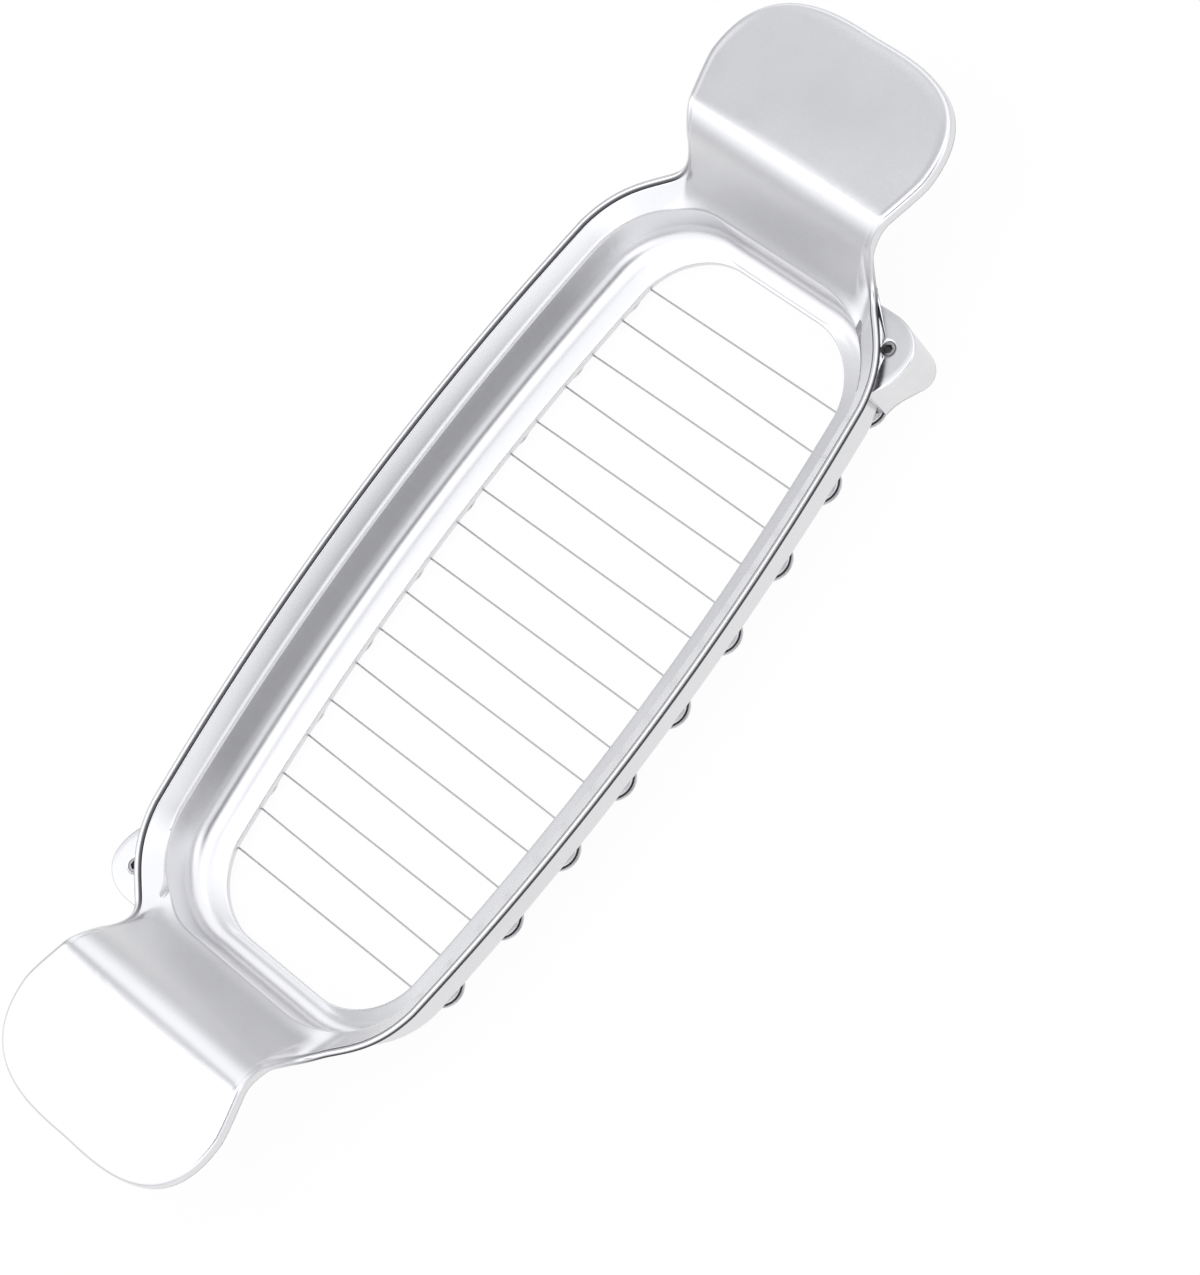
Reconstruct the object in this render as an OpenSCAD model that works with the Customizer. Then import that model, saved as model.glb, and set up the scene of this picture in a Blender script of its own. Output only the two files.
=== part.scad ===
// Wire butter slicer: a stamped sheet tray with a lip, an open middle and two raised handles.
// One long wire runs back and forth under the opening, round studs below the long sides.
// X runs along the slicer, Y across it and Z up. The studs stand on Z = 0.

/* [Wires] */
// Number of cutting wires, an odd number
wire_count = 17; // [9:2:19]
// Distance from one wire to the next
wire_pitch = 9; // [8:0.5:12]
// Diameter of the wire
wire_d = 0.4; // [0.3:0.05:0.6]
// Distance from the last wire to the end of the opening
end_gap = 13; // [11:0.5:18]

/* [Tray] */
// Width of the opening at its middle
opening_w = 62.6; // [50:0.2:80]
// How much nearer the middle line the opening's long side is at its end than at its middle
opening_bow = 5.8; // [4:0.1:8]
// The same bow of the long wall
wall_bow = 6.4; // [4:0.1:8]
// The same bow of the rim
rim_bow = 7.1; // [5:0.1:9]
// Corner radius of the opening
opening_r = 14.5; // [10:0.5:18]
// Width of the floor between the opening and the long wall
side_ledge = 8.9; // [8.4:0.1:14]
// Width of the floor between the opening and the end wall
end_ledge = 5.3; // [4.6:0.1:9]
// Height of the wall above the floor
wall_h = 11; // [8.6:0.2:18]
// Radius inside the bend from floor to wall
bend_r = 2.4; // [1.6:0.1:4]
// Width of the lip outside the wall
lip_w = 5.4; // [4:0.1:8]
// Rise of the lip from the wall to the rim of a long side
lip_rise = 3.4; // [2.6:0.1:7]
// Thickness of the sheet
sheet_t = 0.8; // [0.6:0.1:1.1]
// Space between the wire and the turned edge round the opening
hem_gap = 0.1; // [0.05:0.05:0.4]
// Thickness of the rolled bead on the rim
bead_d = 1.4; // [1:0.1:2]

/* [Handles] */
// Length of a handle beyond the end wall
handle_l = 46; // [38:0.2:60]
// Greatest width of a handle
handle_w = 60.4; // [54:0.2:66]
// From the handle's widest place to its tip
tip_l = 19.2; // [12:0.1:30]
// Width of a handle at its neck
neck_w = 52; // [48:0.2:54]
// Distance from the end wall to the neck
neck_x = 8.9; // [7:0.1:10]
// Height of a handle above the foot of its slope
handle_rise = 18.2; // [12:0.1:30]
// Length of the slope that rises to a handle
rise_l = 20; // [15:0.5:22]
// How far a handle sinks from its top to its tip
handle_drop = 1; // [0.5:0.1:5]
// Depth of the turned edge of a handle
flange_h = 2.7; // [2:0.1:4]

/* [Studs] */
// How far a stud's foot flange reaches beyond the wire round it
flange_reach = 0.1; // [0.05:0.05:0.6]
// Thickness of the foot flange
stud_flange_t = 0.8; // [0.6:0.05:1]
// Radius of the flange's lower edge
flange_round = 0.7; // [0.2:0.05:0.8]
// How far a stud's centre lies inside the foot of the long wall
stud_inset = 4.1; // [3.9:0.1:6]
// How much nearer a stud's centre its wire runs than half the wire spacing
loop_pinch = 0.2; // [0:0.05:0.4]
// Space between the foot flange and the wire
stud_slack = 0.2; // [0.1:0.05:0.3]
// Space between the wire and the floor above it
wire_room = 0.7; // [0.5:0.05:1.4]

/* [Corner holders] */
// Distance from the first stud to the spindle, along the slicer
spindle_dx = 10.7; // [10.2:0.1:11.2]
// Distance from the first stud to the spindle, across the slicer
spindle_dy = 4.4; // [4:0.1:4.8]
// Diameter of the spindle and of its hole in the holder
spindle_d = 3; // [2.6:0.1:3.4]
// Running clearance round the spindle
spindle_gap = 0.04; // [0.02:0.01:0.08]
// Diameter of the spindle's lower end
pivot_d = 2; // [1.6:0.1:2.4]
// Radius of the spindle's collar above the wire
collar_r = 2.6; // [2.4:0.1:3]
// Width across the flats of the key socket
key_af = 1.8; // [1.4:0.1:2]
// Depth of the key socket
key_depth = 3; // [2:0.2:5]
// Radius of the holder's round top
ear_r = 7.6; // [7:0.1:8.2]
// Radius of the holder's round foot
foot_r = 4.7; // [4.5:0.1:5.4]
// Wall thickness of the holder
holder_t = 0.8; // [0.6:0.1:1]
// Space between the holder and the stud beside it
stud_room = 0.3; // [0.2:0.05:0.6]
// Height and width of the slot that lets the wire into the holder
wire_slot = 1.2; // [1:0.1:1.6]
// Space between the tray and what is fixed against it
weld_gap = 0.05; // [0.02:0.01:0.1]
// Gap between a corner holder and the underside of the lip
lip_gap = 0.3; // [0.2:0.05:0.5]

/* [Hidden] */
stud_count = (wire_count + 1) / 2;

steel = "silver";
wire_r = wire_d / 2;
loop_r = wire_pitch / 2 - loop_pinch;
stud_flange_r = loop_r + wire_r + flange_reach;
wire_z = stud_flange_t + stud_slack + wire_r;
floor_z = wire_z + wire_r + wire_room;
floor_top = floor_z + sheet_t;
shoulder_z = floor_top + wall_h;
hem_z = wire_z + wire_r + hem_gap;
last_wire_x = (wire_count - 1) / 2 * wire_pitch;
open_a = last_wire_x + end_gap;
open_b = opening_w / 2;
wall_a = open_a + end_ledge;
wall_b = open_b + side_ledge;
wall_r = opening_r + side_ledge / 2;

// The shape of a closed ring is given for one quarter. Its place u runs from 0 at the middle of
// the long side to 1 at the corner, 2 at the end of the corner and 3 at the middle of the end.
function bezier(p, t) = pow(1 - t, 3) * p[0] + 3 * pow(1 - t, 2) * t * p[1]
                        + 3 * (1 - t) * t * t * p[2] + pow(t, 3) * p[3];
function ease(t) = let (c = min(max(t, 0), 1)) c * c * (3 - 2 * c);
function mix(a, b, w) = a * (1 - w) + b * w;
arc_k = 0.5523;

// A rounded rectangle with bowed long sides: half length a, half width b, bow c, corner radius r
function side_y(b, c, a, x) = b - c * pow(x / a, 2);
function ring(a, b, c, r, u) = let (
    x1 = a - r,
    y1 = side_y(b, c, a, x1),
    slope = -2 * c * x1 / (a * a),
    y2 = b - c - r)
    u <= 1 ? [x1 * u, side_y(b, c, a, x1 * u)]
    : u <= 2 ? bezier([[x1, y1], [x1 + arc_k * r, y1 + slope * arc_k * r],
                       [a, y2 + arc_k * r], [a, y2]], u - 1)
    : [a, y2 * (3 - u)];
function opening_ring(d, u) = ring(open_a + d, open_b + d, opening_bow, opening_r + d, u);
function wall_ring(d, u) = ring(wall_a + d, wall_b + d, wall_bow, wall_r + d, u);

// The rim follows the long side, turns in to the neck and runs round the handle
rim_a = wall_a;
rim_b = wall_b + lip_w;
rim_x1 = wall_a - 16;
rim_y1 = side_y(rim_b, rim_bow, rim_a, rim_x1);
rim_slope = -2 * rim_bow * rim_x1 / (rim_a * rim_a);
neck_at = [wall_a + neck_x, neck_w / 2];
tip_x = wall_a + handle_l;
wide_at = [tip_x - tip_l, handle_w / 2];
neck_u = 1.7;
wide_u = 2.2;
function rim_ring(u) =
    u <= 1 ? [rim_x1 * u, side_y(rim_b, rim_bow, rim_a, rim_x1 * u)]
    : u <= neck_u ? bezier([[rim_x1, rim_y1], [rim_x1 + 15.6, rim_y1 + 15.6 * rim_slope - 1.1],
                            neck_at - [8.2, -0.5], neck_at], (u - 1) / (neck_u - 1))
    : u <= wide_u ? bezier([neck_at, neck_at + [2.4, 0], wide_at - [3.4, 0], wide_at],
                           (u - neck_u) / (wide_u - neck_u))
    : bezier([wide_at, wide_at + [1.11 * tip_l, 0], [tip_x, 0.287 * wide_at[1]], [tip_x, 0]],
             (u - wide_u) / (3 - wide_u));

// Height of the lip, which becomes the handle past the corner
slope_x = wall_a - 3.6;
top_x = slope_x + rise_l + 4.5;
function handle_z(x) = shoulder_z + handle_rise * ease((x - slope_x) / rise_l)
    - handle_drop * pow(max(x - top_x, 0) / (tip_x - top_x), 2);
function handle_share(u) = ease((u - 1.43) / 0.33);
function lip_z(u, x, s) = mix(shoulder_z + lip_rise * s, handle_z(x), handle_share(u));

// The edge profile: distance out from the rim and height above it, for the bead and the handle
edge_in = bead_d + 0.3;
bead_r = bead_d / 2;
bead_edge = [for (a = [150 : -60 : -150]) [bead_r * cos(a) - bead_r, bead_r * sin(a)]];
flange_edge = [[-0.9, 0.05], [-0.3, -0.25], [0, -0.9], [0, -flange_h],
               [-sheet_t * 0.9, -flange_h], [-sheet_t * 0.9, -1.4]];
edge_rows = len(bead_edge);
function edge_pt(k, w) = mix(bead_edge[k], flange_edge[k], w);

du = 0.02;
function rim_out(u) = let (d = rim_ring(min(u + du, 3)) - rim_ring(max(u - du, 0)))
    [-d[1], d[0]] / norm(d);
function lip_at(u, s) = let (p0 = wall_ring(0, u), p1 = rim_ring(u) - edge_in * rim_out(u),
                             p = mix(p0, p1, s)) [p[0], p[1], lip_z(u, p[0], s)];
function lip_normal(u, s) = let (
    a = lip_at(min(u + du, 3), s) - lip_at(max(u - du, 0), s),
    b = lip_at(u, min(s + du, 1)) - lip_at(u, max(s - du, 0)),
    n = cross(a, b)) n / norm(n);

// One cross-section of the sheet at place u, from the opening out to the rim and back below
lip_rows = 9;
function lip_s(k) = pow(k / lip_rows, 1.25);
function up(p, z) = [p[0], p[1], z];
outer_r = bend_r + sheet_t;
hem_t = sheet_t * 0.8;
function section(u) = let (
    w = handle_share(u),
    rim = rim_ring(u),
    out = rim_out(u),
    rim_h = lip_z(u, rim[0], 1)) concat(
    [up(opening_ring(hem_t, u), hem_z), up(opening_ring(0.1, u), hem_z),
     up(opening_ring(0, u), hem_z + 0.15), up(opening_ring(0.05, u), floor_top - 0.4),
     up(opening_ring(0.5, u), floor_top)],
    [for (a = [-90 : 30 : 0]) up(wall_ring(-bend_r + bend_r * cos(a), u),
                                 floor_top + bend_r + bend_r * sin(a))],
    [up(wall_ring(0, u), lip_z(u, wall_ring(0, u)[0], 0) - 0.5)],
    [for (k = [0 : lip_rows]) lip_at(u, k == 0 ? 0.02 : lip_s(k)) + (k == 0 ? [0, 0, 0.05] : [0, 0, 0])],
    [for (k = [0 : edge_rows - 1]) let (e = edge_pt(k, w))
        [rim[0] + out[0] * e[0], rim[1] + out[1] * e[0], rim_h + e[1]]],
    [for (k = [lip_rows : -1 : 2]) lip_at(u, lip_s(k)) - sheet_t * lip_normal(u, lip_s(k))],
    [up(wall_ring(sheet_t, u), lip_z(u, wall_ring(0, u)[0], 0) - sheet_t * 0.8)],
    [for (a = [0 : -30 : -90]) up(wall_ring(-bend_r + outer_r * cos(a), u),
                                  floor_top + bend_r + outer_r * sin(a))],
    [up(opening_ring(hem_t, u), floor_z)]);

side_steps = 5;
corner_steps = 10;
end_steps = 10;
quarter = side_steps + corner_steps + end_steps;
function place(m) = m <= side_steps ? m / side_steps
    : m <= side_steps + corner_steps ? 1 + (m - side_steps) / corner_steps
    : 2 + (m - side_steps - corner_steps) / end_steps;
quarter_sections = [for (m = [0 : quarter]) section(place(m))];
function turned(points, sx, sy) = [for (p = points) [p[0] * sx, p[1] * sy, p[2]]];
sections = concat([for (m = [0 : quarter - 1]) turned(quarter_sections[m], 1, -1)],
                  [for (m = [quarter : -1 : 1]) turned(quarter_sections[m], 1, 1)],
                  [for (m = [0 : quarter - 1]) turned(quarter_sections[m], -1, 1)],
                  [for (m = [quarter : -1 : 1]) turned(quarter_sections[m], -1, -1)]);

module closed_sweep(rings) {
    n = len(rings);
    m = len(rings[0]);
    points = [for (r = rings) for (p = r) p];
    faces = [for (i = [0 : n - 1]) for (j = [0 : m - 1]) let (
        a = i * m + j, b = i * m + (j + 1) % m,
        c = ((i + 1) % n) * m + (j + 1) % m, d = ((i + 1) % n) * m + j)
        each [[a, b, c], [a, c, d]]];
    polyhedron(points, faces, convexity = 10);
}

module tray() {
    color(steel) closed_sweep(sections);
}

// Studs and wire
first_stud_x = last_wire_x + wire_pitch / 2;
function stud_x(i) = first_stud_x - (i - 1) * 2 * wire_pitch;
function stud_y(x) = wall_b - stud_inset - wall_bow * pow(x / wall_a, 2);
bend_steps = 10;
stud_core_r = loop_r * cos(90 / bend_steps) - wire_r - 0.02;
edge_round = min(flange_round, stud_flange_t);

module stud() {
    color(steel) rotate_extrude($fn = 96) difference() {
        union() {
            square([stud_core_r, floor_z - weld_gap]);
            square([stud_flange_r, stud_flange_t]);
        }
        translate([stud_flange_r - edge_round, 0]) difference() {
            translate([0, -edge_round]) square(2 * edge_round);
            translate([0, edge_round]) circle(r = edge_round, $fn = 32);
        }
    }
}

module near_stud(i) {
    translate([stud_x(i), -stud_y(stud_x(i)), 0]) stud();
}

module far_stud(i) {
    rotate([0, 0, 180]) near_stud(i);
}

// The wire turns half round each stud, and its two ends run to the spindles
spindle_x = first_stud_x + spindle_dx;
spindle_y = stud_y(first_stud_x) + spindle_dy;
spindle_core_r = 1.6;
wrap_r = spindle_core_r + wire_r + 0.08;

// Its end stretch follows the common inner tangent of the first stud and the spindle
stud_c = [first_stud_x, -stud_y(first_stud_x)];
spindle_c = [spindle_x, -spindle_y];
span = spindle_c - stud_c;
leave_angle = atan2(span[1], span[0]) - acos((loop_r + wrap_r) / norm(span));
leave_at = stud_c + loop_r * [cos(leave_angle), sin(leave_angle)];
reach_at = spindle_c - wrap_r * [cos(leave_angle), sin(leave_angle)];
wrap_turn = 300;
wire_sides = 8;

function arc(c, r, from, to, n) = [for (i = [0 : n]) let (a = mix(from, to, i / n))
    c + r * [cos(a), sin(a)]];
function near_c(i) = [stud_x(i), -stud_y(stud_x(i))];
wire_end = concat(arc(spindle_c, wrap_r, leave_angle + 180 - wrap_turn, leave_angle + 180, 16),
                  arc(stud_c, loop_r, leave_angle, -180, 7));
route = concat(
    wire_end,
    [for (i = [2 : stud_count]) each concat(
        arc(-near_c(stud_count + 2 - i), loop_r, 0, 180, bend_steps),
        arc(near_c(i), loop_r, 0, -180, bend_steps))],
    [for (i = [len(wire_end) - 1 : -1 : 0]) -wire_end[i]]);

function route_normal(i) = let (d = route[min(i + 1, len(route) - 1)] - route[max(i - 1, 0)])
    [-d[1], d[0]] / norm(d);
wire_rings = [for (i = [0 : len(route) - 1]) let (n = route_normal(i))
    [for (k = [0 : wire_sides - 1]) let (a = (k + 0.5) * 360 / wire_sides)
        [route[i][0] + wire_r * cos(a) * n[0], route[i][1] + wire_r * cos(a) * n[1],
         wire_z + wire_r * sin(a)]]];

module open_sweep(rings) {
    n = len(rings);
    m = len(rings[0]);
    points = [for (r = rings) for (p = r) p];
    sides = [for (i = [0 : n - 2]) for (j = [0 : m - 1]) let (
        a = i * m + j, b = i * m + (j + 1) % m, c = a + m, d = b + m)
        each [[a, b, d], [a, d, c]]];
    caps = [[for (j = [m - 1 : -1 : 0]) j], [for (j = [0 : m - 1]) (n - 1) * m + j]];
    polyhedron(points, concat(sides, caps), convexity = 10);
}

module cutting_wire() {
    color("gainsboro") open_sweep(wire_rings);
}

// Corner holder: a hollow drawn cap below the rim, with a hole in its top and one in its foot
holder_top = shoulder_z + lip_rise / 2;
holder_foot = 0.1;
back_y = spindle_y - 9.9;
back_w = 16;
ear_c = [spindle_x - 0.9, -(spindle_y - 1.4)];
foot_c = [spindle_x + 0.7, -(spindle_y - 0.6)];

module ear_outline(d) {
    hull() {
        translate(ear_c) circle(r = ear_r - d, $fn = 64);
        translate([spindle_x - 9.4 + d, -back_y]) square([back_w - 2 * d, 1]);
    }
}

module foot_outline(d) {
    hull() {
        translate(foot_c) circle(r = foot_r - d, $fn = 64);
        translate([spindle_x - 9.4 + d, -back_y]) square([back_w - 2 * d, 1]);
    }
}

module holder_body(d, z0, z1) {
    hull() {
        translate([0, 0, z1 - 0.5]) linear_extrude(0.5) ear_outline(d);
        translate([0, 0, z0]) linear_extrude(0.5) foot_outline(d);
    }
}

// The room that the tray takes beside a holder: inside the wall and above the lip's underside
room_in = 12;
room_top = holder_top + handle_rise;
function shadow_ring(u) = let (
    out = rim_out(u),
    rim = rim_ring(u),
    edge_h = lip_z(u, rim[0], 1) - bead_d - (flange_h - bead_d) * handle_share(u) - weld_gap,
    wall_out = wall_ring(sheet_t + weld_gap, u),
    under = lip_z(u, wall_ring(0, u)[0], 0) - sheet_t * 0.8 - lip_gap)
    concat([up(wall_ring(-room_in, u), room_top), up(wall_ring(-room_in, u), -wire_z), up(wall_out, -wire_z),
            up(wall_out, under)],
           [for (k = [2 : lip_rows]) lip_at(u, lip_s(k)) - (sheet_t + lip_gap) * lip_normal(u, lip_s(k))],
           [up(rim - edge_in * out, edge_h), up(rim + weld_gap * out, edge_h), up(rim + weld_gap * out, room_top)]);

module tray_shadow() {
    rings = [for (m = [side_steps - 1 : side_steps + corner_steps]) let (r = shadow_ring(place(m)))
        [for (p = r) [p[0], -p[1], p[2]]]];
    n = len(rings);
    m = len(rings[0]);
    sides = [for (i = [0 : n - 2]) for (j = [0 : m - 1]) let (
        a = i * m + j, b = i * m + (j + 1) % m, c = a + m, d = b + m)
        each [[a, b, d], [a, d, c]]];
    fans = [for (j = [1 : m - 2]) each [[0, j + 1, j], [(n - 1) * m, (n - 1) * m + j, (n - 1) * m + j + 1]]];
    polyhedron([for (r = rings) for (p = r) p], concat(sides, fans), convexity = 6);
}

module corner_holder() {
    color(steel) difference() {
        holder_body(0, holder_foot, holder_top);
        holder_body(holder_t, holder_foot + holder_t, holder_top - holder_t);
        tray_shadow();
        translate([stud_c[0], stud_c[1], -stud_room])
            cylinder(r = stud_flange_r + stud_room, h = floor_z + 2 * stud_room, $fn = 96);
        translate([spindle_x, -spindle_y, wire_z - wire_slot / 2])
            rotate([0, 0, atan2(reach_at[1] - leave_at[1], reach_at[0] - leave_at[0]) + 180])
                translate([0, -wrap_r - wire_slot / 2, 0]) cube([norm(span), wire_slot, wire_slot]);
        translate([spindle_x, -spindle_y, holder_foot - holder_t])
            cylinder(d = pivot_d + 2 * spindle_gap, h = 3 * holder_t, $fn = 48);
        translate([spindle_x, -spindle_y, holder_top - 2 * holder_t])
            cylinder(d = spindle_d + 2 * spindle_gap, h = 3 * holder_t, $fn = 48);
    }
}

module near_corner_holder() {
    corner_holder();
}

module far_corner_holder() {
    rotate([0, 0, 180]) corner_holder();
}

// The spindle turns in the holder's two holes and takes up the wire below its collar
module tension_spindle() {
    foot_top = holder_foot + holder_t;
    color(steel) translate([spindle_x, -spindle_y, 0]) difference() {
        union() {
            translate([0, 0, holder_foot]) cylinder(d = pivot_d, h = 2, $fn = 48);
            translate([0, 0, foot_top + 0.05])
                cylinder(r = spindle_core_r, h = wire_z + wire_r - foot_top, $fn = 48);
            translate([0, 0, wire_z + wire_r + 0.05]) cylinder(r = collar_r, h = 0.8, $fn = 48);
            translate([0, 0, wire_z + wire_r])
                cylinder(d = spindle_d, h = holder_top - 0.1 - wire_z - wire_r, $fn = 48);
        }
        translate([0, 0, holder_top - key_depth])
            cylinder(d = key_af / cos(30), h = key_depth + 1, $fn = 6);
    }
}

module near_tension_spindle() {
    tension_spindle();
}

module far_tension_spindle() {
    rotate([0, 0, 180]) tension_spindle();
}

tray();
cutting_wire();
near_corner_holder();
far_corner_holder();
near_tension_spindle();
far_tension_spindle();
for (i = [1 : stud_count]) near_stud(i);
for (i = [1 : stud_count]) far_stud(i);
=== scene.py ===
# %% [markdown]
# # A wire butter slicer in satin steel
#
# The slicer is one pressed steel tray with an open middle and two raised handles. A long wire
# runs back and forth under the opening, round studs below the long sides. This script dresses
# the measured model of it: it rebuilds the sheet, the wire and the fittings as fine meshes in
# the same places, gives each a worked metal surface, and sets up a pale studio.

# %% Tools and the measured model
import math

import bmesh
import bpy
import numpy as np
from mathutils import Matrix, Vector


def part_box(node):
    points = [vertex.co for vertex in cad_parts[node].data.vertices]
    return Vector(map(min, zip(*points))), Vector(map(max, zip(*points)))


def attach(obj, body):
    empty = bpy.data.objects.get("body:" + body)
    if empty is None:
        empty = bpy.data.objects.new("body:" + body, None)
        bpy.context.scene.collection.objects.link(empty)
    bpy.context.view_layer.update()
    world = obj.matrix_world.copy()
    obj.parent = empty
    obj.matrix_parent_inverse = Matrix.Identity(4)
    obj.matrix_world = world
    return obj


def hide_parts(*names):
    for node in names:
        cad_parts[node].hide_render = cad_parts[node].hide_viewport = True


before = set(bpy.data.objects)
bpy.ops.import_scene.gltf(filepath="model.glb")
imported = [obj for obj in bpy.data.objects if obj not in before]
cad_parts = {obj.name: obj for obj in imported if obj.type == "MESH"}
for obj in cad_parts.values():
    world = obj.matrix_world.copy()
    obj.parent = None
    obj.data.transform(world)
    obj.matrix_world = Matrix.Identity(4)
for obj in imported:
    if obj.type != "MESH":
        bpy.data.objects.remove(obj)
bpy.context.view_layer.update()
MM = 0.001
print("nodes in the frame:", len(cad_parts))

# %% [markdown]
# ## The camera
#
# The photograph looks down on the slicer from its near long side, and the picture is turned so
# that the slicer runs up to the right. A roll of the camera does that. The slicer then stays
# square in its own frame, which keeps every other sum in this script simple. A small shift, not
# a turn, moves the slicer off the middle of the picture.

# %% Camera
PHOTO_SIZE = (1200, 1275)
CAMERA_ELEVATION = math.radians(57.5)
CAMERA_ROLL = math.radians(53.97)
CAMERA_TURN = math.radians(0.56)
CAMERA_DISTANCE = 975 * MM
FOCAL_PX = 4768
CENTRE_PX = (534.6, 634.5)
WIRE_Z = 1.2 * MM
SENSOR = 36


def make_camera():
    """A rolled camera that looks at the middle of the wires."""
    data = bpy.data.cameras.new("photo_camera")
    data.sensor_fit = "AUTO"
    data.sensor_width = SENSOR
    data.lens = FOCAL_PX * SENSOR / max(PHOTO_SIZE)
    data.shift_x = (PHOTO_SIZE[0] / 2 - CENTRE_PX[0]) / max(PHOTO_SIZE)
    data.shift_y = (CENTRE_PX[1] - PHOTO_SIZE[1] / 2) / max(PHOTO_SIZE)
    data.clip_start = 0.05
    data.clip_end = 50
    camera = bpy.data.objects.new("photo_camera", data)
    bpy.context.scene.collection.objects.link(camera)
    along = Vector((math.cos(CAMERA_TURN), math.sin(CAMERA_TURN), 0))
    back = Vector((math.sin(CAMERA_TURN) * math.cos(CAMERA_ELEVATION),
                   -math.cos(CAMERA_TURN) * math.cos(CAMERA_ELEVATION), math.sin(CAMERA_ELEVATION)))
    level_up = back.cross(along)
    right = math.cos(CAMERA_ROLL) * along - math.sin(CAMERA_ROLL) * level_up
    up = math.sin(CAMERA_ROLL) * along + math.cos(CAMERA_ROLL) * level_up
    camera.matrix_world = Matrix((
        (right.x, up.x, back.x, CAMERA_DISTANCE * back.x),
        (right.y, up.y, back.y, CAMERA_DISTANCE * back.y),
        (right.z, up.z, back.z, CAMERA_DISTANCE * back.z + WIRE_Z),
        (0, 0, 0, 1),
    ))
    bpy.context.scene.camera = camera
    return camera


camera = make_camera()
bpy.context.scene.view_settings.view_transform = "Standard"
print("lens in mm:", round(camera.data.lens, 1))

# %% [markdown]
# ## Writing shader maths as expressions
#
# A node tree for a metal surface is mostly arithmetic on noise. A small class holds a socket and
# adds a Math node for each operator, so a formula in Python reads like the formula it makes.


# %% Shader helpers
class Sock:
    """A node socket that makes Math nodes when it is added, scaled and so on."""

    def __init__(self, tree, socket):
        self.tree, self.socket = tree, socket

    def math(self, operation, *others, clamp=False):
        node = self.tree.nodes.new("ShaderNodeMath")
        node.operation = operation
        node.use_clamp = clamp
        for place, value in enumerate((self, *others)):
            if isinstance(value, Sock):
                self.tree.links.new(value.socket, node.inputs[place])
            else:
                node.inputs[place].default_value = value
        return Sock(self.tree, node.outputs[0])

    def __add__(self, other):
        return self.math("ADD", other)

    __radd__ = __add__

    def __mul__(self, other):
        return self.math("MULTIPLY", other)

    __rmul__ = __mul__

    def __sub__(self, other):
        return self.math("SUBTRACT", other)

    def __rsub__(self, other):
        return (self * -1) + other

    def clamp(self):
        return self.math("ADD", 0.0, clamp=True)


class Finish:
    """One material under construction."""

    def __init__(self, name):
        self.material = bpy.data.materials.new(name)
        self.material.use_nodes = True
        self.tree = self.material.node_tree
        self.shader = self.tree.nodes["Principled BSDF"]
        self.place = self.node("ShaderNodeTexCoord").outputs["Object"]

    def node(self, kind, settings=None, **sockets):
        """Any node: its settings first, then the values or links of its sockets."""
        node = self.tree.nodes.new(kind)
        for key, value in (settings or {}).items():
            setattr(node, key, value)
        for key, value in sockets.items():
            self.put(node, key, value)
        return node

    def put(self, node, key, value):
        socket = node.inputs[key]
        if isinstance(value, Sock):
            self.tree.links.new(value.socket, socket)
        elif isinstance(value, bpy.types.NodeSocket):
            self.tree.links.new(value, socket)
        else:
            socket.default_value = value

    def noise(self, scale, detail=2.0, stretch=(1, 1, 1)):
        mapping = self.node("ShaderNodeMapping", Vector=self.place, Scale=stretch)
        node = self.node("ShaderNodeTexNoise", Vector=mapping.outputs[0], Scale=scale, Detail=detail)
        return Sock(self.tree, node.outputs[0])

    def attribute(self, name):
        node = self.node("ShaderNodeAttribute", {"attribute_name": name})
        return Sock(self.tree, node.outputs["Fac"])

    def blend(self, factor, first, second):
        """A colour between two colours."""
        node = self.node("ShaderNodeMix", {"data_type": "RGBA"})
        self.put(node, 0, factor)
        for place, value in ((6, first), (7, second)):
            self.put(node, place, (*value, 1) if isinstance(value, tuple) else value)
        return node.outputs[2]

    def set(self, **sockets):
        for key, value in sockets.items():
            self.put(self.shader, key.replace("_", " "), value)

    def bump(self, height, strength, distance):
        node = self.node("ShaderNodeBump", Height=height, Strength=strength, Distance=distance)
        self.set(Normal=node.outputs[0])


# %% [markdown]
# ## Satin sheet steel
#
# The sheet is stainless steel with a fine satin finish: bright, a little cool, with a soft grain
# that only shows close to. Two noises do it. A coarse one moves the roughness a little, as
# handling does, and a fine one gives the grain as a bump and a trace of tone. A value named
# painted_shade on the points of a mesh says how much painted shade darkens the steel in a groove,
# under an edge or up a long wall.


# %% Steel finishes
# Painted shade: the near-black colour that painted_shade blends the steel towards.
PAINTED_SHADE_COLOUR = (0.03, 0.03, 0.035)


def satin_steel():
    """Polished sheet: bright and soft, with a fine even grain."""
    f = Finish("satin_sheet")
    grain = f.noise(2600, 3.0)
    cloud = f.noise(55, 2.0)
    # Painted shade from the mesh's points darkens the colour, takes away the metal and roughens it.
    painted_shade = f.attribute("painted_shade")
    steel = f.blend((grain * 0.7 + cloud * 0.5 - 0.1).clamp(), (0.72, 0.72, 0.735), (0.82, 0.82, 0.83))
    f.set(Base_Color=f.blend(painted_shade, steel, PAINTED_SHADE_COLOUR))
    f.set(Metallic=1 - painted_shade, Roughness=cloud * 0.06 + grain * 0.06 + 0.24 + painted_shade * 0.3)
    f.bump(grain, 0.10, 0.00003)
    return f.material


def turned_steel(name, light, dark, roughness):
    """A turned or drawn part: a fine grain over a mottled steel, light and dark."""
    f = Finish(name)
    grain = f.noise(3200, 2.0)
    cloud = f.noise(400, 2.0)
    # Painted shade from the mesh's points darkens the colour, takes away the metal and roughens it.
    painted_shade = f.attribute("painted_shade")
    steel = f.blend((grain * 0.6 + cloud * 0.6 - 0.1).clamp(), dark, light)
    f.set(Base_Color=f.blend(painted_shade, steel, PAINTED_SHADE_COLOUR))
    f.set(Metallic=1 - painted_shade, Roughness=grain * 0.08 + roughness)
    f.bump(grain, 0.12, 0.00002)
    return f.material


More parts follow.
